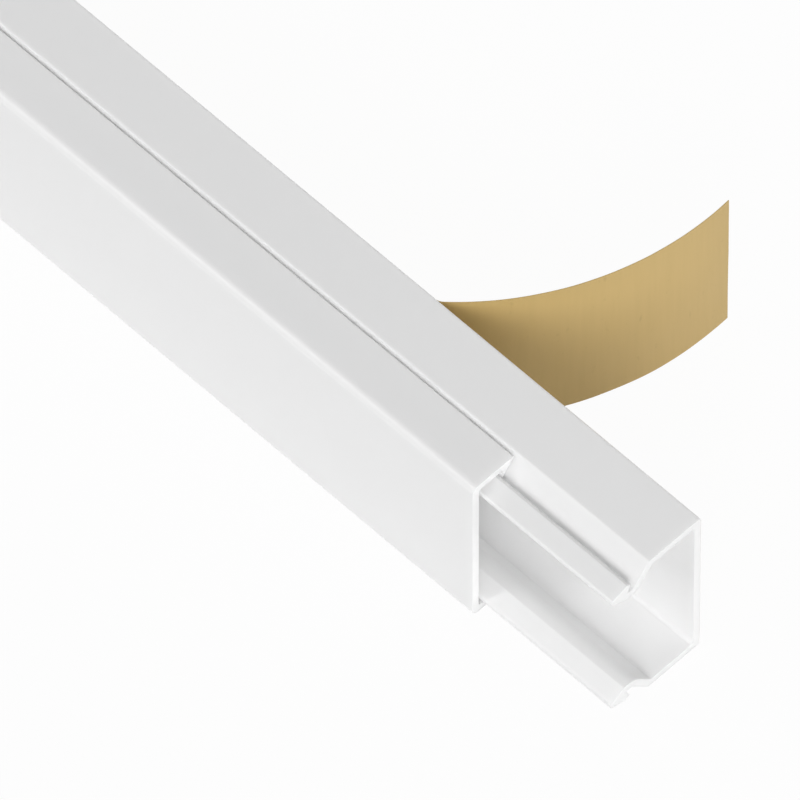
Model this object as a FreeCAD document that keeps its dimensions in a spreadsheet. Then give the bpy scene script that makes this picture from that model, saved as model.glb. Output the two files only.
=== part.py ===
# Self-adhesive cord cover raceway: an extruded channel, the cover that snaps over its lips,
# a strip of double-sided tape on its back and the paper liner that peels off the tape.
# Millimetres. +X runs along the length, +Y points at the wall and +Z is up, across the width.
# The origin is at mid-length and mid-width, on the outer face of the liner that is still attached.
import FreeCAD, Part
import math
import os
import re
import Sketcher

SIZES = {
    "overall_width": 25.0,  # across both side walls
    "overall_depth": 15.0,  # from the channel's back to the cover's face
    "wall": 1.0,  # every flat wall of the channel and the cover
    "base_length": 400.0,
    "cover_length": 400.0,
    "cover_setback": 20.0,  # how far the cover is drawn back from the channel's near end
    "back_radius": 0.4,  # outer corners on the channel's back
    "face_radius": 1.0,  # outer corners on the cover's face
    "root_radius": 0.5,  # inner corners of both extrusions
    "crease_radius": 0.3,  # inner corner where the side wall turns in
    "fold_radius": 2.0,  # inner side of the fold under the groove
    "ridge_radius": 0.4,  # inner ridge between the fold and the nose
    "shoulder_radius": 0.4,  # outer corner where the side wall turns in
    "rim_radius": 0.35,  # rounded end of the nose
    "edge_radius": 0.15,  # rounded edges of the barbs and hooks
    "shoulder": 8.0,  # from the back to where the side wall turns in
    "groove_slope": 2.5,  # depth that the slope takes from the shoulder to the groove's floor
    "groove_floor": 0.9,  # width of the groove's floor
    "groove_drop": 2.8,  # from the side plane in to the groove's floor
    "nose_root": 0.3,  # from the groove's far side to where the nose's inner side starts to rise
    "barb_lean": 0.55,  # how far the barb hangs over the groove
    "barb_face": 0.35,  # height of the barb's blunt face
    "nose_drop": 1.8,  # from the side plane in to the lip's nose
    "nose_flat": 0.45,  # flat top of the nose
    "nose_thickness": 0.8,
    "nose_rake": 0.15,  # how far the nose's end leans back
    "snap_clearance": 0.15,  # between the lips and the cover's walls
    "seam_gap": 0.55,  # open seam between the shoulder and the cover's leg
    "hook_drop": 2.45,  # from the side plane in to the hook's tip
    "hook_slope": 1.85,  # depth that the hook's rear face takes
    "hook_tip": 0.6,  # width of the hook's blunt tip
    "hook_rise": 0.15,  # how much higher the tip's front edge is
    "hook_notch": 1.8,  # from the leg's end to the root of the hook's front face
    "tape_thickness": 0.15,
    "tape_width": 22.6,
    "tape_inset": 5.0,  # from the channel's ends to the tape's ends
    "liner_thickness": 0.1,
    "liner_width": 23.2,
    "peel_setback": 41.0,  # from the channel's near end to where the liner leaves the tape
    "bend_radius": 1.5,  # of the liner's outer face at the peel line
    "peel_angle": 43.0,  # degrees that the liner turns there
    "curl_radius": 40.0,  # of the liner's outer face along its free end
    "curl_sweep": 50.0,  # degrees that the curl turns
}

doc = FreeCAD.newDocument("cord_cover_raceway")
sheet = doc.addObject("Spreadsheet::Sheet", "Sizes")
for row, (name, size) in enumerate(SIZES.items(), start=1):
    sheet.set(f"A{row}", name)
    sheet.set(f"B{row}", str(size))
    sheet.setAlias(f"B{row}", name)
doc.recompute()


def bound(formula):
    """Turn plain size names into references to the sheet's cells."""
    names = "|".join(sorted(SIZES, key=len, reverse=True))
    return re.sub(rf"\b({names})\b", r"Sizes.\1", formula)


def value(formula):
    """The number that a formula of size names gives now."""
    return float(sheet.evalExpression(bound(formula)))


def origin_plane(body, role):
    """One of a body's own origin planes, found by its role."""
    return next(plane for plane in body.Origin.OriginFeatures if plane.Role == role)


def arc_between(start, end, radius):
    """A short arc that bulges to the right of the way from start to end, or left if radius < 0."""
    chord = end - start
    side = FreeCAD.Vector(chord.y, -chord.x, 0).normalize()
    size = abs(radius)
    bulge = size - math.sqrt(size**2 - chord.Length**2 / 4)
    middle = (start + end) / 2 + side * math.copysign(bulge, radius)
    return Part.Arc(start, middle, end)


def outline(body, name, role, corners):
    """A fully constrained closed sketch. A corner is (across, up) or (across, up, radius):
    with a radius, the edge that leaves the corner is an arc of that size."""
    sketch = body.newObject("Sketcher::SketchObject", name)
    sketch.AttachmentSupport = [(origin_plane(body, role), "")]
    sketch.MapMode = "FlatFace"
    places = [FreeCAD.Vector(value(corner[0]), value(corner[1]), 0) for corner in corners]
    joined = zip(corners, places, places[1:] + places[:1])
    for corner, start, end in joined:
        if len(corner) == 3:
            sketch.addGeometry(arc_between(start, end, value(corner[2])))
        else:
            sketch.addGeometry(Part.LineSegment(start, end))
    starts = []
    for edge in range(len(corners)):
        following = (edge + 1) % len(corners)
        first = Part.Vertex(sketch.getPoint(edge, 1)).Point
        turned = (first - places[edge]).Length > (first - places[following]).Length
        starts.append((2, 1) if turned else (1, 2))
    for edge, corner in enumerate(corners):
        following = (edge + 1) % len(corners)
        sketch.addConstraint(
            Sketcher.Constraint("Coincident", edge, starts[edge][1], following, starts[following][0])
        )
        for kind, formula in zip(("DistanceX", "DistanceY"), corner):
            held = Sketcher.Constraint(kind, -1, 1, edge, starts[edge][0], value(formula))
            number = sketch.addConstraint(held)
            sketch.setExpression(f"Constraints[{number}]", bound(formula))
        if len(corner) == 3:
            number = sketch.addConstraint(Sketcher.Constraint("Radius", edge, abs(value(corner[2]))))
            sketch.setExpression(f"Constraints[{number}]", bound(f"abs({corner[2]})"))
    doc.recompute()
    return sketch


def pad(body, sketch, length):
    """Extrude a sketch both ways from its plane."""
    feature = body.newObject("PartDesign::Pad", f"{body.Name}_pad")
    feature.Profile = sketch
    feature.SideType = "Symmetric"
    feature.setExpression("Length", bound(length))
    doc.recompute()
    return feature


def mirror(body, feature):
    """Complete a half section across the plane at mid-width."""
    mirrored = body.newObject("PartDesign::Mirrored", f"{body.Name}_mirror")
    mirrored.Originals = [feature]
    mirrored.MirrorPlane = (origin_plane(body, "XY_Plane"), [""])
    body.Tip = mirrored
    doc.recompute()
    return mirrored


def round_corners(body, name, base, radius, corners):
    """Round the lengthwise edges that stand at the named corners of the half section, both sides."""
    places = [(value(across), value(up)) for across, up in corners]
    found = []
    for number, edge in enumerate(base.Shape.Edges, start=1):
        middle = edge.CenterOfMass
        lengthwise = edge.BoundBox.YLength < 1e-6 and edge.BoundBox.ZLength < 1e-6
        near = any(math.hypot(middle.y - y, abs(middle.z) - z) < 1e-4 for y, z in places)
        if lengthwise and near:
            found.append(f"Edge{number}")
    if len(found) != 2 * len(corners):
        raise RuntimeError(f"{name}: {len(found)} edges found")
    fillet = body.newObject("PartDesign::Fillet", name)
    fillet.Base = (base, found)
    fillet.setExpression("Radius", bound(radius))
    doc.recompute()
    return fillet


def extrusion(name, corners, length):
    """A body with a half section, padded along the length and mirrored at mid-width.
    In its own frame +Y leads from the wall to the cover's face, so it is turned round in place."""
    body = doc.addObject("PartDesign::Body", name)
    sketch = outline(body, f"{name}_section", "YZ_Plane", corners)
    body.Placement = FreeCAD.Placement(
        FreeCAD.Vector(), FreeCAD.Rotation(FreeCAD.Vector(0, 0, 1), 180)
    )
    body.setExpression("Placement.Base.y", bound("-(tape_thickness + liner_thickness)"))
    return body, mirror(body, pad(body, sketch, length))


def base_channel():
    """The channel: flat back, side walls, and a fold, a barb and a nose at each wall's edge.
    The wall keeps its thickness through the fold, so its inner corners lag by half the turn."""
    side = "(overall_width / 2)"
    groove_start = "(shoulder + groove_slope)"
    groove_end = f"({groove_start} + groove_floor)"
    lag = "(wall * tan(atan(groove_drop / groove_slope) / 2))"
    nose_end = "(overall_depth - wall - snap_clearance)"
    barb_drop = "(wall + snap_clearance)"
    corners = [
        ("0", "0"),
        ("0", side),
        ("shoulder", side),
        (groove_start, f"{side} - groove_drop"),
        (groove_end, f"{side} - groove_drop"),
        (f"{groove_end} - barb_lean", f"{side} - {barb_drop} - barb_face"),
        (groove_end, f"{side} - {barb_drop}"),
        (f"{nose_end} - nose_flat", f"{side} - nose_drop"),
        (nose_end, f"{side} - nose_drop"),
        (f"{nose_end} - nose_rake", f"{side} - nose_drop - nose_thickness"),
        (f"{groove_end} + nose_root", f"{side} - groove_drop - wall"),
        (f"{groove_start} - {lag}", f"{side} - groove_drop - wall"),
        (f"shoulder - {lag}", f"{side} - wall"),
        ("wall", f"{side} - wall"),
        ("wall", "0"),
    ]
    body, whole = extrusion("base_channel", corners, "base_length")
    whole = round_corners(body, "back_corners", whole, "back_radius", corners[1:2])
    whole = round_corners(body, "inner_corners", whole, "root_radius", corners[13:14])
    whole = round_corners(body, "ridges", whole, "ridge_radius", corners[10:11])
    whole = round_corners(body, "folds", whole, "fold_radius", corners[11:12])
    whole = round_corners(body, "creases", whole, "crease_radius", corners[12:13])
    whole = round_corners(body, "shoulders", whole, "shoulder_radius", corners[2:3])
    whole = round_corners(body, "rims", whole, "rim_radius", corners[8:10])
    round_corners(body, "barb_edges", whole, "edge_radius", corners[5:7])
    return body


def snap_cover():
    """The cover: flat face and two short legs, each with a hook that sits in the lips' groove."""
    side = "(overall_width / 2)"
    leg_end = "(shoulder + seam_gap)"
    tip_start = f"({leg_end} + hook_slope)"
    corners = [
        ("overall_depth", "0"),
        ("overall_depth", side),
        (leg_end, side),
        (tip_start, f"{side} - hook_drop"),
        (f"{tip_start} + hook_tip", f"{side} - hook_drop + hook_rise"),
        (f"{leg_end} + hook_notch", f"{side} - wall"),
        ("overall_depth - wall", f"{side} - wall"),
        ("overall_depth - wall", "0"),
    ]
    body, whole = extrusion("snap_cover", corners, "cover_length")
    body.setExpression("Placement.Base.x", bound("(base_length - cover_length) / 2 - cover_setback"))
    whole = round_corners(body, "face_corners", whole, "face_radius", corners[1:2])
    whole = round_corners(body, "cover_roots", whole, "root_radius", corners[6:7])
    round_corners(body, "hook_edges", whole, "edge_radius", corners[2:5])
    return body


def adhesive_tape():
    """The strip of tape along the middle of the channel's back."""
    strip = doc.addObject("Part::Box", "adhesive_tape")
    strip.setExpression("Length", bound("base_length - 2 * tape_inset"))
    strip.setExpression("Width", bound("tape_thickness"))
    strip.setExpression("Height", bound("tape_width"))
    strip.setExpression("Placement.Base.x", bound("tape_inset - base_length / 2"))
    strip.setExpression("Placement.Base.y", bound("-(tape_thickness + liner_thickness)"))
    strip.setExpression("Placement.Base.z", bound("-tape_width / 2"))
    return strip


def release_liner():
    """The paper liner: flat on the tape, a tight bend at the peel line, then the free curl.
    The arcs' ends come from their turns, measured from the bend's centre above the peel line."""
    body = doc.addObject("PartDesign::Body", "release_liner")
    peel = "(base_length / 2 - peel_setback)"
    first = ("sin(peel_angle * 1 deg)", "cos(peel_angle * 1 deg)")
    last = ("sin((peel_angle + curl_sweep) * 1 deg)", "cos((peel_angle + curl_sweep) * 1 deg)")

    def on_bend(radius):
        return (f"{peel} + ({radius}) * {first[0]}", f"bend_radius - ({radius}) * {first[1]}")

    def on_curl(radius):
        across, up = on_bend("bend_radius - curl_radius")
        return (f"{across} + ({radius}) * {last[0]}", f"{up} - ({radius}) * {last[1]}")

    corners = [
        ("tape_inset - base_length / 2", "0"),
        (peel, "0", "bend_radius"),
        (*on_bend("bend_radius"), "curl_radius"),
        on_curl("curl_radius"),
        (*on_curl("curl_radius + liner_thickness"), "-(curl_radius + liner_thickness)"),
        (*on_bend("bend_radius + liner_thickness"), "-(bend_radius + liner_thickness)"),
        (peel, "-liner_thickness"),
        ("tape_inset - base_length / 2", "-liner_thickness"),
    ]
    pad(body, outline(body, "liner_edge", "XY_Plane", corners), "liner_width")
    return body


def main():
    pieces = [base_channel(), snap_cover(), adhesive_tape(), release_liner()]
    doc.recompute()
    for item in doc.Objects:
        if "Invalid" in item.State or "Error" in item.State:
            raise RuntimeError(f"{item.Name} failed: {item.State}")
    for piece in pieces:
        if piece.Shape.isNull() or not piece.Shape.isValid():
            raise RuntimeError(f"{piece.Label} has no valid shape")
    os.makedirs("parts", exist_ok=True)
    for piece in pieces:
        piece.Shape.exportStep(os.path.join("parts", f"{piece.Label}.step"))
        size = piece.Shape.BoundBox
        volume = piece.Shape.Volume
        print(f"{piece.Label}: {size.XLength:.2f} x {size.YLength:.2f} x {size.ZLength:.2f} mm,", end=" ")
        print(f"{volume:.1f} mm3, {len(piece.Shape.Solids)} solid")


main()
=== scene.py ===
# %% [markdown]
# # Dressing a cord cover raceway
# A cord cover raceway is a plastic channel that is stuck to a wall, with a cover that snaps over
# it and hides the cords inside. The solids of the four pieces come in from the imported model, and
# their sizes and places stay as they are. What is left to do here is their finish: extrusions
# with finely rounded corners, sawn to length, brown release paper that curls off its tape, and
# the light that shows them.

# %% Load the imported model
import math

import bmesh
import bpy
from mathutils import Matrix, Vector


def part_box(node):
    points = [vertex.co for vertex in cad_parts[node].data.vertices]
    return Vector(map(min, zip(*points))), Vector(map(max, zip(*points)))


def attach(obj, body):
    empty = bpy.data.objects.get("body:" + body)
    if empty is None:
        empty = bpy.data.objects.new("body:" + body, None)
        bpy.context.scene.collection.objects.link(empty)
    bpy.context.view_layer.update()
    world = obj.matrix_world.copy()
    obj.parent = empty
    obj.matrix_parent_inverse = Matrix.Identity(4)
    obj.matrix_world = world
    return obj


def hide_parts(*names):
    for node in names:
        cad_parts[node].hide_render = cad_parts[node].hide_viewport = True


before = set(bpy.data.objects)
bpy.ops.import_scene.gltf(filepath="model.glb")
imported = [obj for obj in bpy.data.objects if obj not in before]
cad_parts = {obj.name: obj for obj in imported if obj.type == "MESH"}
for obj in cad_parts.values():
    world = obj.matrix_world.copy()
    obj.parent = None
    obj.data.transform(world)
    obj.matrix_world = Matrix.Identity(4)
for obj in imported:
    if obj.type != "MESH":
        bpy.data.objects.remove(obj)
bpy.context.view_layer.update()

MM = 0.001  # every object is in metres

# %% [markdown]
# ## The pieces' places
# Everything below is placed from the corners of the solids, so nothing has to be fitted by eye.
# The channel runs along X, its back faces +Y and the cover's face looks along -Y. The near end
# is the one where the cover is drawn back.

# %% Read the places
base_low, base_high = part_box("base_channel")
cover_low, cover_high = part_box("snap_cover")
tape_low, tape_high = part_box("adhesive_tape")
liner_low, liner_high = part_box("release_liner")
floor_height = min(base_low.z, cover_low.z)
print("channel length:", round((base_high.x - base_low.x) / MM, 1), "mm")
print("cover drawn back:", round((base_high.x - cover_high.x) / MM, 1), "mm")
print("tape length:", round((tape_high.x - tape_low.x) / MM, 1), "mm")

# %% [markdown]
# ## The camera
# The lines along the raceway stay almost parallel in the picture, and so do those across it, so
# the picture was taken with a very long lens. Such a view can be an orthographic camera or a
# perspective one that stands far away. A perspective camera is used here, because the small
# convergence that is left then comes by itself. It looks down from the front and from the side
# of the near end, at a point on the raceway's top.

# %% Stand the camera
PICTURE_WIDTH = 86.9 * MM  # what the picture spans across the raceway's top
CAMERA_DISTANCE = 3700 * MM
AZIMUTH = math.radians(44.86)
ELEVATION = math.radians(56.68)
AIM_FROM_END = 33.9 * MM
AIM_FROM_BACK = 12.2 * MM
FARTHEST_SEEN = 20.0

towards_camera = Vector((
    math.sin(AZIMUTH) * math.cos(ELEVATION),
    -math.cos(AZIMUTH) * math.cos(ELEVATION),
    math.sin(ELEVATION),
))
aim = Vector((base_high.x - AIM_FROM_END, base_high.y - AIM_FROM_BACK, base_high.z))
bpy.ops.object.camera_add(location=aim + towards_camera * CAMERA_DISTANCE)
camera = bpy.context.object
camera.name = "camera"
camera.rotation_euler = towards_camera.to_track_quat("Z", "Y").to_euler()
camera.data.lens = camera.data.sensor_width * CAMERA_DISTANCE / PICTURE_WIDTH
camera.data.clip_end = FARTHEST_SEEN
bpy.context.scene.camera = camera
print("lens:", round(camera.data.lens), "mm")

# %% [markdown]
# ## The floor
# The raceway stands on its side on a white studio floor that has no visible end. A plain white
# floor still turns grey where the light falls off, so the part of it that the camera sees
# directly is mixed with a white glow. The rest of the mix is ordinary paint, which keeps the
# soft shadow under the raceway. Light that bounces off the floor is not changed by this.

# %% Lay the floor
FLOOR_SIZE = 12.0
FLOOR_GLOW = 0.96
FLOOR_PAINT = (0.78, 0.78, 0.78, 1)
WHITE = (1, 1, 1, 1)


def add_node(tree, kind, sockets=None, **settings):
    """A new node, with its properties set from the settings and its inputs from the sockets."""
    made = tree.nodes.new(kind)
    for name, setting in settings.items():
        setattr(made, name, setting)
    for socket, setting in (sockets or {}).items():
        made.inputs[socket].default_value = setting
    return made


def new_material(name):
    """A material, its node tree, and the socket on its output that takes the surface."""
    material = bpy.data.materials.new(name)
    material.use_nodes = True
    tree = material.node_tree
    tree.nodes.clear()
    output = tree.nodes.new("ShaderNodeOutputMaterial")
    return material, tree, output.inputs["Surface"]


def seen_or_mirrored(tree):
    """1 where the camera sees the studio, directly or in a shiny surface, and 0 for its light."""
    path = tree.nodes.new("ShaderNodeLightPath")
    either = add_node(tree, "ShaderNodeMath", operation="MAXIMUM")
    through = add_node(tree, "ShaderNodeMath", operation="MAXIMUM")
    tree.links.new(path.outputs["Is Camera Ray"], either.inputs[0])
    tree.links.new(path.outputs["Is Glossy Ray"], either.inputs[1])
    tree.links.new(either.outputs[0], through.inputs[0])
    tree.links.new(path.outputs["Is Transmission Ray"], through.inputs[1])
    return through.outputs[0]


studio_white, tree, surface = new_material("studio_white")
paint = add_node(tree, "ShaderNodeBsdfDiffuse", {"Color": FLOOR_PAINT})
glow = add_node(tree, "ShaderNodeEmission", {"Color": WHITE, "Strength": 1.0})
share = add_node(tree, "ShaderNodeMath", {1: FLOOR_GLOW}, operation="MULTIPLY")
blend = tree.nodes.new("ShaderNodeMixShader")
tree.links.new(seen_or_mirrored(tree), share.inputs[0])
tree.links.new(share.outputs[0], blend.inputs[0])
tree.links.new(paint.outputs[0], blend.inputs[1])
tree.links.new(glow.outputs[0], blend.inputs[2])
tree.links.new(blend.outputs[0], surface)

bpy.ops.object.select_all(action="DESELECT")
bpy.ops.mesh.primitive_plane_add(size=FLOOR_SIZE, location=(0, 0, floor_height))
floor = bpy.context.object
floor.name = "studio_floor"
floor.data.materials.append(studio_white)
print("floor at", round(floor_height / MM, 2), "mm")

# %% [markdown]
# ## The light
# The raceway's top is its greyest side, the cover's face is lighter, and both the rounded edge
# between them and the sawn ends are lighter still. So the main lamp, the key, stands low, in
# front and beyond the near end. A fill lamp lies almost level beyond that end and looks into the
# open channel, and a back lamp opens up the shadow under the peeled paper.
#
# A glossy round edge shines where it mirrors a lamp to the camera. Halfway between the way to
# the camera and the way to that lamp is the direction that the edge must face, and a weak edge
# lamp in front, towards the far end, is placed by this rule. It draws the bright line along the
# cover's front edge. A front lamp on the same side adds soft light to it.
#
# A strong lamp that is mirrored would also glare on the raceway's flat top when it is seen from
# behind, and white plastic has no room for glare. So only the weak edge lamp shines in glossy
# surfaces, and the others, which are hidden from glossy rays, just light them.
#
# A near lamp would be brighter at one end of the raceway than at the other, so all of them are
# sun lamps, which light its whole length evenly. Their discs are wide, except the edge lamp's,
# and that keeps their shadows soft. A pale sky lifts the rest: it is white where the camera sees
# it, directly or mirrored, and dimmer where it gives light.
#
# Light that gets into a white channel is thrown from wall to wall many times before it leaves.
# Cycles follows it for four such bounces and drops the rest, which turns the inside grey, so it
# is asked here to follow twelve.

# %% Light the studio
SKY = 0.33
KEY_SIDE = Vector((0.63, -0.60, 0.47)).normalized()
KEY_LEVEL = 0.50
FILL_SIDE = Vector((0.98, 0.04, 0.18)).normalized()
FILL_LEVEL = 0.24
BACK_SIDE = Vector((-0.50, 0.82, 0.12)).normalized()
BACK_LEVEL = 0.35
EDGE_SIDE = Vector((-0.39, -0.69, 0.61)).normalized()
EDGE_LEVEL = 0.08
FRONT_LEVEL = 0.05
WIDE_DISC = math.radians(34)
SMALL_DISC = math.radians(8)
LAMP_DISTANCE = 2.0  # of the lamp's symbol: a sun lamp shines from infinitely far away
DIFFUSE_BOUNCES = 12


def far_softbox(name, side, level, disc=WIDE_DISC, shines=False):
    """A lamp so far away on one side that it lights the whole length evenly."""
    bpy.ops.object.light_add(type="SUN", location=side * LAMP_DISTANCE)
    lamp = bpy.context.object
    lamp.name = name
    lamp.rotation_euler = side.to_track_quat("Z", "Y").to_euler()
    lamp.data.energy = level * math.pi
    lamp.data.angle = disc
    lamp.visible_glossy = shines


far_softbox("key_lamp", KEY_SIDE, KEY_LEVEL)
far_softbox("fill_lamp", FILL_SIDE, FILL_LEVEL)
far_softbox("back_lamp", BACK_SIDE, BACK_LEVEL)
far_softbox("front_lamp", EDGE_SIDE, FRONT_LEVEL)
far_softbox("edge_lamp", EDGE_SIDE, EDGE_LEVEL, SMALL_DISC, shines=True)

world = bpy.data.worlds.new("studio_sky")
bpy.context.scene.world = world
world.use_nodes = True
tree = world.node_tree
sky = tree.nodes["Background"]
sky.inputs["Color"].default_value = WHITE
level = add_node(tree, "ShaderNodeMix", {2: SKY, 3: 1.0}, data_type="FLOAT")
tree.links.new(seen_or_mirrored(tree), level.inputs[0])
tree.links.new(level.outputs[0], sky.inputs["Strength"])
bpy.context.scene.view_settings.view_transform = "Standard"
bpy.context.scene.cycles.diffuse_bounces = DIFFUSE_BOUNCES

# %% [markdown]
# ## Extruded plastic
# The channel and the cover are pushed through a die as one long profile. The die leaves very
# fine lines along the length, and the plastic is satin, neither dull nor glossy. A noise that is
# stretched along X makes those lines. A second, softer noise varies how shiny the surface is,
# because a perfectly even shine looks computed. Where the profile was sawn to length, the face
# looks along X and shows a finer, rougher grain, so a mask from the surface's direction swaps
# one pattern for the other. The same mask tints those sawn ends a shade darker. That is painted
# shade, which holds back the strong light of the lamps beyond the near end.
#
# The walls are only a millimetre thick, and white plastic lets some light through. A little
# subsurface scattering, with a radius below one wall, softens the shadows in the corners.

# %% Make the plastic
PLASTIC = (0.94, 0.94, 0.94, 1)
# painted shade: the sawn ends are tinted a touch darker, to hold back the lamps' light on them
SAWN_PLASTIC_PAINTED_SHADE = (0.93, 0.93, 0.93, 1)
PLASTIC_GLOSS = 0.52
SATIN = {"To Min": 0.26, "To Max": 0.36}  # range of the roughness
SPREAD_SHARE = 0.6
SPREAD_DEPTH = 0.7 * MM
DIE_LINES = (6, 2600, 2600)  # waves of the noise in a metre, along each axis
SAW_GRAIN = (900, 2400, 900)
SHINE_PATCHES = (15, 120, 120)
SAWN_FACE = {"From Min": 0.6, "From Max": 0.9}  # how squarely the surface looks along X
PLASTIC_BUMP = {"Strength": 0.25, "Distance": 0.02 * MM}


def object_noise(tree, stretch, detail):
    """Noise in the piece's own coordinates, with its waves in a metre given for each axis."""
    place = tree.nodes.new("ShaderNodeTexCoord")
    mapping = add_node(tree, "ShaderNodeMapping", {"Scale": stretch})
    noise = add_node(tree, "ShaderNodeTexNoise", {"Scale": 1.0, "Detail": detail})
    tree.links.new(place.outputs["Object"], mapping.inputs["Vector"])
    tree.links.new(mapping.outputs[0], noise.inputs["Vector"])
    return noise.outputs["Fac"]


def extruded_plastic(name):
    """Satin plastic with die lines along X; sawn ends, facing X, get saw grain and painted shade.
    """
    material, tree, surface = new_material(name)
    shader = add_node(tree, "ShaderNodeBsdfPrincipled", {
        "Specular IOR Level": PLASTIC_GLOSS,
        "Subsurface Weight": SPREAD_SHARE,
        "Subsurface Radius": (1.0, 1.0, 1.0),
        "Subsurface Scale": SPREAD_DEPTH,
    })

    direction = tree.nodes.new("ShaderNodeNewGeometry")
    parts = tree.nodes.new("ShaderNodeSeparateXYZ")
    length = add_node(tree, "ShaderNodeMath", operation="ABSOLUTE")
    sawn_grain_and_shade_mask = add_node(tree, "ShaderNodeMapRange", SAWN_FACE)
    tree.links.new(direction.outputs["True Normal"], parts.inputs[0])
    tree.links.new(parts.outputs["X"], length.inputs[0])
    tree.links.new(length.outputs[0], sawn_grain_and_shade_mask.inputs["Value"])

    # painted shade: faces that look along X take the darker sawn tint, where the lamps light them
    # most
    plastic_tint_with_end_shade = add_node(tree, "ShaderNodeMix", {6: PLASTIC, 7: SAWN_PLASTIC_PAINTED_SHADE}, data_type="RGBA")
    tree.links.new(sawn_grain_and_shade_mask.outputs[0], plastic_tint_with_end_shade.inputs[0])
    tree.links.new(plastic_tint_with_end_shade.outputs[2], shader.inputs["Base Color"])

    die_lines = object_noise(tree, DIE_LINES, 3.0)
    saw_grain = object_noise(tree, SAW_GRAIN, 4.0)
    grain = add_node(tree, "ShaderNodeMix", data_type="FLOAT")
    tree.links.new(sawn_grain_and_shade_mask.outputs[0], grain.inputs[0])
    tree.links.new(die_lines, grain.inputs[2])
    tree.links.new(saw_grain, grain.inputs[3])
    bump = add_node(tree, "ShaderNodeBump", PLASTIC_BUMP)
    tree.links.new(grain.outputs[0], bump.inputs["Height"])
    tree.links.new(bump.outputs[0], shader.inputs["Normal"])

    shine = add_node(tree, "ShaderNodeMapRange", SATIN)
    tree.links.new(object_noise(tree, SHINE_PATCHES, 2.0), shine.inputs["Value"])
    tree.links.new(shine.outputs[0], shader.inputs["Roughness"])
    tree.links.new(shader.outputs[0], surface)
    return material


channel_plastic = extruded_plastic("satin_channel")
cover_plastic = extruded_plastic("satin_cover")
print("materials:", channel_plastic.name, cover_plastic.name)

# %% [markdown]
# ## The two sections
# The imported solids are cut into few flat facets, and a round corner of half a millimetre gets
# only one or two. Light shows that on an extrusion more than on anything else, because each
# facet becomes a stripe along the whole length. So both extrusions are drawn again here from the
# same section, with eight facets in each corner.
#
# A section is given by the sharp corners of its upper half, in millimetres. Each row says how
# far the corner lies from the back, how far from mid-width, and how large its round is.

# %% Write down the sections
CHANNEL_HALF = (
    (0.0, 12.5, 0.4),  # corner of the back
    (8.0, 12.5, 0.4),  # shoulder, where the side wall turns in
    (10.5, 9.7, 0),  # start of the groove
    (11.4, 9.7, 0),  # end of the groove
    (10.85, 11.0, 0.15),  # barb that hangs over the groove
    (11.4, 11.35, 0.15),  # top of the barb
    (13.4, 10.7, 0),  # flat of the nose
    (13.85, 10.7, 0.35),  # upper rim of the nose
    (13.7, 9.9, 0.35),  # lower rim of the nose
    (11.7, 8.7, 0.4),  # ridge under the nose
    (10.052, 8.7, 2.0),  # fold under the groove
    (7.552, 11.5, 0.3),  # crease inside the shoulder
    (1.0, 11.5, 0.5),  # root of the side wall
)
COVER_HALF = (
    (15.0, 12.5, 1.0),  # corner of the face
    (8.55, 12.5, 0.15),  # end of the leg
    (10.4, 10.05, 0.15),  # rear edge of the hook's tip
    (11.0, 10.2, 0.15),  # front edge of the hook's tip
    (10.35, 11.5, 0),  # root of the hook
    (14.0, 11.5, 0.5),  # root of the leg
)
print("corners:", 2 * len(CHANNEL_HALF), "and", 2 * len(COVER_HALF))

# %% [markdown]
# ## Rounding and extruding
# A vertex is pulled from corner to corner, as one would draw the section by hand, and the outline
# is filled. A vertex bevel then rounds the corners. It starts at a distance along the edges, not
# at a radius, and that distance is the radius times the tangent of half the corner's turn. Last,
# the face is extruded along the whole length in one step, as the die does it.
#
# Smooth shading alone would bend the light on the wide flat walls too, because each vertex takes
# the average of the faces around it. A Weighted Normal modifier lets the wide faces win.

# %% Extrude the channel and the cover
ARC_STEPS = 8
SAME_PLACE = 0.001 * MM
WELD = 0.0001 * MM
SHARP = math.radians(30)


def select_where(piece, test):
    """In edit mode, select only the vertices whose place passes the test."""
    bpy.ops.mesh.select_all(action="DESELECT")
    mesh = bmesh.from_edit_mesh(piece.data)
    for vertex in mesh.verts:
        vertex.select_set(test(vertex.co))
    mesh.select_flush(True)
    bmesh.update_edit_mesh(piece.data)


def draw_outline(name, corners):
    """A new object in edit mode whose vertex was pulled through all the corners."""
    bpy.ops.object.select_all(action="DESELECT")
    bpy.ops.mesh.primitive_plane_add(size=MM, location=corners[0])
    piece = bpy.context.object
    piece.name = name
    bpy.ops.object.transform_apply(location=True, rotation=True, scale=True)
    bpy.ops.object.mode_set(mode="EDIT")
    bpy.ops.mesh.select_mode(type="VERT")
    bpy.ops.mesh.merge(type="CENTER")
    for start, end in zip(corners, corners[1:]):
        bpy.ops.mesh.extrude_region_move(TRANSFORM_OT_translate={"value": end - start})
    bpy.ops.mesh.select_all(action="SELECT")
    bpy.ops.mesh.edge_face_add()
    return piece


def round_corner(piece, corners, number, radius):
    """Round one corner of the upper half, and its twin in the lower half with it."""
    corner = corners[number]
    turn = (corner - corners[number - 1]).angle(corners[number + 1] - corner)

    def is_corner(place):
        return (Vector((place.x, place.y, abs(place.z))) - corner).length < SAME_PLACE

    select_where(piece, is_corner)
    bpy.ops.mesh.bevel(
        affect="VERTICES",
        offset_type="OFFSET",
        offset=radius * math.tan(turn / 2),
        segments=ARC_STEPS,
        profile=0.5,
    )


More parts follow.
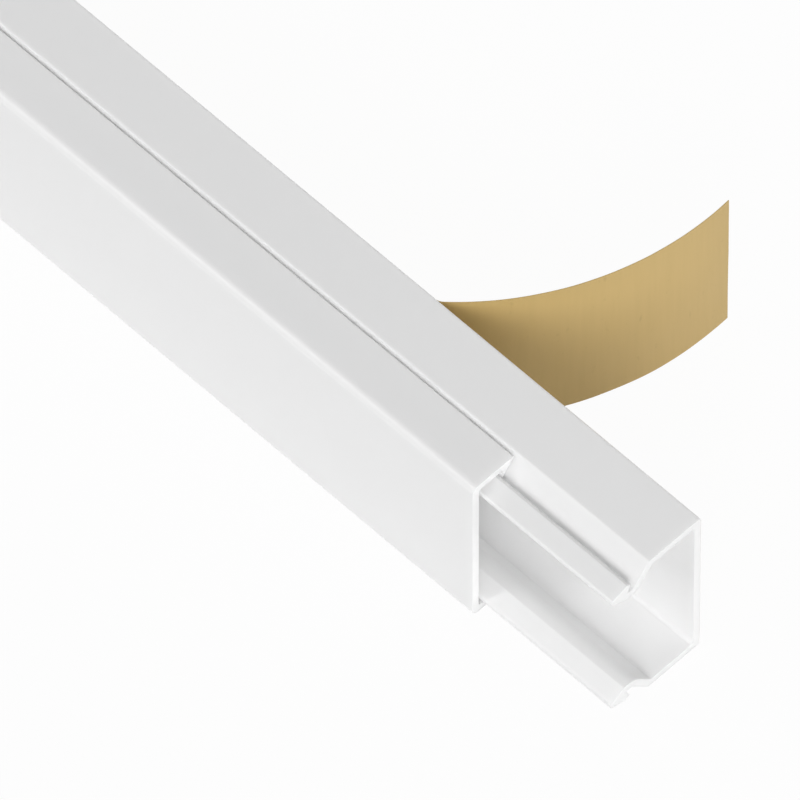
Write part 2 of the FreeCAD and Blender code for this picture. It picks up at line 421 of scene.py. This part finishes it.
def extrude_section(name, half, start_x, end_x, material):
    """A piece with a symmetric section that reaches from one end to the other."""
    upper = [
        Vector((start_x, base_high.y - from_back * MM, from_middle * MM))
        for from_back, from_middle, _ in half
    ]
    lower = [Vector((start_x, place.y, -place.z)) for place in reversed(upper)]
    corners = upper + lower
    piece = draw_outline(name, corners)
    for number, (_, _, radius) in enumerate(half):
        if radius:
            round_corner(piece, corners, number, radius * MM)
    bpy.ops.mesh.select_all(action="SELECT")
    bpy.ops.mesh.extrude_region_move(TRANSFORM_OT_translate={"value": (end_x - start_x, 0, 0)})
    bpy.ops.mesh.select_all(action="SELECT")
    bpy.ops.mesh.remove_doubles(threshold=WELD)
    bpy.ops.mesh.normals_make_consistent(inside=False)
    bpy.ops.object.mode_set(mode="OBJECT")
    bpy.ops.object.shade_smooth_by_angle(angle=SHARP)
    piece.modifiers.new("flat walls", "WEIGHTED_NORMAL").keep_sharp = True
    bpy.ops.object.modifier_apply(modifier="flat walls")
    piece.data.materials.append(material)
    return piece


channel = extrude_section(
    "channel_extrusion", CHANNEL_HALF, base_low.x, base_high.x, channel_plastic)
cover = extrude_section(
    "cover_extrusion", COVER_HALF, cover_low.x, cover_high.x, cover_plastic)
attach(channel, "base")
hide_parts("base_channel")
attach(cover, "cover")
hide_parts("snap_cover")
for piece in (channel, cover):
    places = [vertex.co for vertex in piece.data.vertices]
    extents = [round((max(axis) - min(axis)) / MM, 2) for axis in zip(*places)]
    print(piece.name, extents, "mm,", len(piece.data.polygons), "faces")

# %% [markdown]
# ## The peeled liner
# The release liner is one strip of paper, and paper bends but never stretches. So the strip
# starts as a flat grid on the back of the tape, and its end edge is swept round two circles.
# The first is small, where the paper is pulled off the tape. The second is large, where it
# keeps the curl of the roll that it came from. A spin keeps the strip's width true all the way,
# and the two arcs join without a kink, because both centres lie on one line. Only then does the
# sheet get its thickness, so its edges stay as sharp as cut paper.

# %% Model the liner
PEEL_LINE = base_high.x - 41 * MM
BEND_RADIUS = 1.5 * MM
BEND_TURN = math.radians(43)
CURL_RADIUS = 40 * MM
CURL_TURN = math.radians(50)
PAPER = 0.1 * MM
FLAT_STEPS = 24
WIDTH_STEPS = 16
BEND_STEPS = 10
CURL_STEPS = 44

bpy.ops.object.select_all(action="DESELECT")
bpy.ops.mesh.primitive_grid_add(
    x_subdivisions=FLAT_STEPS,
    y_subdivisions=WIDTH_STEPS,
    size=1,
    location=((PEEL_LINE + liner_low.x) / 2, -PAPER / 2, 0),
    rotation=(math.radians(90), 0, 0),
)
liner = bpy.context.object
liner.name = "paper_liner"
liner.scale = (PEEL_LINE - liner_low.x, liner_high.z - liner_low.z, 1)
bpy.ops.object.transform_apply(location=True, rotation=True, scale=True)

bend_centre = Vector((PEEL_LINE, BEND_RADIUS, 0))
inward = Vector((-math.sin(BEND_TURN), math.cos(BEND_TURN), 0))
curl_centre = bend_centre + inward * (CURL_RADIUS - BEND_RADIUS)
bpy.ops.object.mode_set(mode="EDIT")
bpy.ops.mesh.select_mode(type="VERT")
select_where(liner, lambda place: abs(place.x - PEEL_LINE) < SAME_PLACE)
bpy.ops.mesh.spin(steps=BEND_STEPS, angle=BEND_TURN, center=bend_centre, axis=(0, 0, -1))
bpy.ops.mesh.spin(steps=CURL_STEPS, angle=CURL_TURN, center=curl_centre, axis=(0, 0, -1))
bpy.ops.mesh.select_all(action="SELECT")
bpy.ops.mesh.remove_doubles(threshold=SAME_PLACE)
bpy.ops.mesh.normals_make_consistent(inside=False)
bpy.ops.object.mode_set(mode="OBJECT")
free_end = max((vertex.co for vertex in liner.data.vertices), key=lambda place: place.y)
print("free end reaches", [round(part / MM, 2) for part in free_end], "mm")

# %% [markdown]
# ## Cockles and thickness
# Paper that was peeled by hand is never a perfect cylinder: it keeps faint waves, called
# cockles. A Displace modifier with a cloud texture makes them. It works through a vertex group,
# so that the stretch that is still stuck down stays flat. The waves are a small fraction of a
# millimetre high, and the light alone shows them.

# %% Finish the liner's shape
COCKLE_HEIGHT = 0.3 * MM
COCKLE_SIZE = 14 * MM
COCKLES_FULL_AT = 8 * MM  # how far behind the back the waves reach their full height

free = liner.vertex_groups.new(name="free")
for vertex in liner.data.vertices:
    lift = min(max(vertex.co.y / COCKLES_FULL_AT, 0), 1)
    free.add([vertex.index], lift, "REPLACE")
waves = bpy.data.textures.new("cockles", "CLOUDS")
waves.noise_scale = COCKLE_SIZE
cockles = liner.modifiers.new("cockles", "DISPLACE")
cockles.texture = waves
cockles.texture_coords = "LOCAL"
cockles.strength = COCKLE_HEIGHT
cockles.mid_level = 0.5
cockles.vertex_group = "free"
thickness = liner.modifiers.new("thickness", "SOLIDIFY")
thickness.thickness = PAPER
thickness.offset = 0
bpy.ops.object.modifier_apply(modifier="cockles")
bpy.ops.object.modifier_apply(modifier="thickness")
bpy.ops.object.shade_smooth_by_angle(angle=SHARP)
print("liner faces:", len(liner.data.polygons))

# %% [markdown]
# ## Kraft paper
# The liner is brown kraft paper, pressed smooth and coated so that the tape lets go of it. From
# near by it has long faint fibres, small darker flecks and a dull sheen. Three noises make them:
# one is stretched across the strip for the fibres, one is fine for the flecks, and a slow one
# lets the tone drift along the strip, as it does on any uncoated board.

# %% Make the kraft paper
KRAFT = (0.51, 0.362, 0.135, 1)
KRAFT_PALE = (0.59, 0.42, 0.17, 1)
KRAFT_FLECK = (0.38, 0.255, 0.09, 1)
KRAFT_GLOSS = 0.35
KRAFT_ROUGHNESS = 0.5
FIBRES = (1500, 1500, 90)
DRIFT = (60, 60, 25)
DRIFT_SHARE = 0.45
FLECKS = (1100, 1100, 500)
RARE = {"From Min": 0.68, "From Max": 0.82, "To Max": 0.35}  # only the peaks become flecks
KRAFT_BUMP = {"Strength": 0.3, "Distance": 0.02 * MM}


def kraft_paper(name):
    """Smooth brown paper with fibres across the strip, flecks and a drifting tone."""
    material, tree, surface = new_material(name)
    shader = add_node(tree, "ShaderNodeBsdfPrincipled", {
        "Specular IOR Level": KRAFT_GLOSS,
        "Roughness": KRAFT_ROUGHNESS,
    })
    fibres = object_noise(tree, FIBRES, 3.0)
    drift = object_noise(tree, DRIFT, 1.0)
    flecks = object_noise(tree, FLECKS, 2.0)

    tone = add_node(tree, "ShaderNodeMix", {0: DRIFT_SHARE}, data_type="FLOAT")
    tree.links.new(fibres, tone.inputs[2])
    tree.links.new(drift, tone.inputs[3])
    paper = add_node(tree, "ShaderNodeMix", {6: KRAFT, 7: KRAFT_PALE}, data_type="RGBA")
    tree.links.new(tone.outputs[0], paper.inputs[0])
    rare = add_node(tree, "ShaderNodeMapRange", RARE)
    tree.links.new(flecks, rare.inputs["Value"])
    spotted = add_node(tree, "ShaderNodeMix", {7: KRAFT_FLECK}, data_type="RGBA")
    tree.links.new(rare.outputs[0], spotted.inputs[0])
    tree.links.new(paper.outputs[2], spotted.inputs[6])
    tree.links.new(spotted.outputs[2], shader.inputs["Base Color"])

    bump = add_node(tree, "ShaderNodeBump", KRAFT_BUMP)
    tree.links.new(fibres, bump.inputs["Height"])
    tree.links.new(bump.outputs[0], shader.inputs["Normal"])
    tree.links.new(shader.outputs[0], surface)
    return material


liner.data.materials.append(kraft_paper("kraft_paper"))
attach(liner, "base")
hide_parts("release_liner")
print("the liner rides on the base")

# %% [markdown]
# ## The bare tape
# Where the liner is peeled away, the tape shows its adhesive. It is a clear, sticky film on a
# white carrier: glossy, faintly yellow, and never quite level, because the liner's grain is
# printed into it. A coarse and a fine noise share the bump, and the gloss varies with them.

# %% Make the adhesive
ADHESIVE = (0.80, 0.79, 0.73, 1)
ADHESIVE_GLOSS = 0.5
FILM_WEIGHT = 0.4
FILM_ROUGHNESS = 0.12
DIMPLES = (260, 260, 260)
PRINT_THROUGH = (1500, 1500, 1500)
PRINT_SHARE = 0.35
ADHESIVE_BUMP = {"Strength": 0.2, "Distance": 0.05 * MM}
STICKY = {"To Min": 0.16, "To Max": 0.34}  # range of the roughness


def adhesive_film(name):
    """A glossy sticky film with the liner's grain printed into it."""
    material, tree, surface = new_material(name)
    shader = add_node(tree, "ShaderNodeBsdfPrincipled", {
        "Base Color": ADHESIVE,
        "Specular IOR Level": ADHESIVE_GLOSS,
        "Coat Weight": FILM_WEIGHT,
        "Coat Roughness": FILM_ROUGHNESS,
    })
    dimples = object_noise(tree, DIMPLES, 2.0)
    print_through = object_noise(tree, PRINT_THROUGH, 3.0)
    relief = add_node(tree, "ShaderNodeMix", {0: PRINT_SHARE}, data_type="FLOAT")
    tree.links.new(dimples, relief.inputs[2])
    tree.links.new(print_through, relief.inputs[3])
    bump = add_node(tree, "ShaderNodeBump", ADHESIVE_BUMP)
    tree.links.new(relief.outputs[0], bump.inputs["Height"])
    tree.links.new(bump.outputs[0], shader.inputs["Normal"])
    gloss = add_node(tree, "ShaderNodeMapRange", STICKY)
    tree.links.new(dimples, gloss.inputs["Value"])
    tree.links.new(gloss.outputs[0], shader.inputs["Roughness"])
    tree.links.new(shader.outputs[0], surface)
    return material


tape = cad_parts["adhesive_tape"]
tape.data.materials.clear()
tape.data.materials.append(adhesive_film("adhesive_film"))
print("adhesive on", tape.name)
